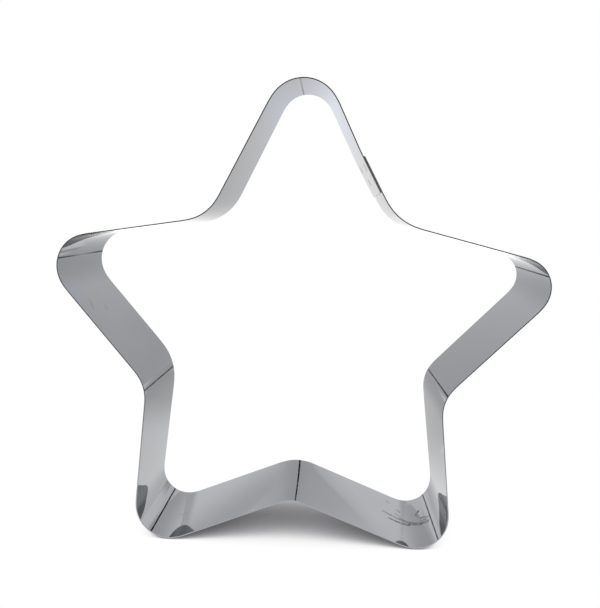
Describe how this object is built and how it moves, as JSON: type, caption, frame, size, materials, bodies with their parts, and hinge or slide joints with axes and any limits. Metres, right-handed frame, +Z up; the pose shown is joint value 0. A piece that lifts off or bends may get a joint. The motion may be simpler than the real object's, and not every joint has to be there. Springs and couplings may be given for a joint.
{
  "type": "star cake ring",
  "caption": "Star-shaped cake ring: an open band of bright stainless strip bent to rounded points and inner corners, its ends lapped and spot-welded.",
  "frame": {"origin": "on the ground, midway between the ring's left and right ends and midway between its two cut edges", "axes": "+Z up through the top point as the ring stands on its two lower points, +X to the right and +Y away from the viewer along the ring's axis"},
  "size_m": [0.2208, 0.05, 0.2149],
  "materials": {
    "bright_stainless": "bright rolled stainless sheet, close to a mirror, with fine lengthwise rolling lines",
    "weld_steel": "fused stainless, dull"
  },
  "bodies": {
    "root": {"star_band": "bright_stainless", "spot_weld_front": "weld_steel", "spot_weld_rear": "weld_steel", "spot_weld_middle": "weld_steel"}
  },
  "joints": []
}
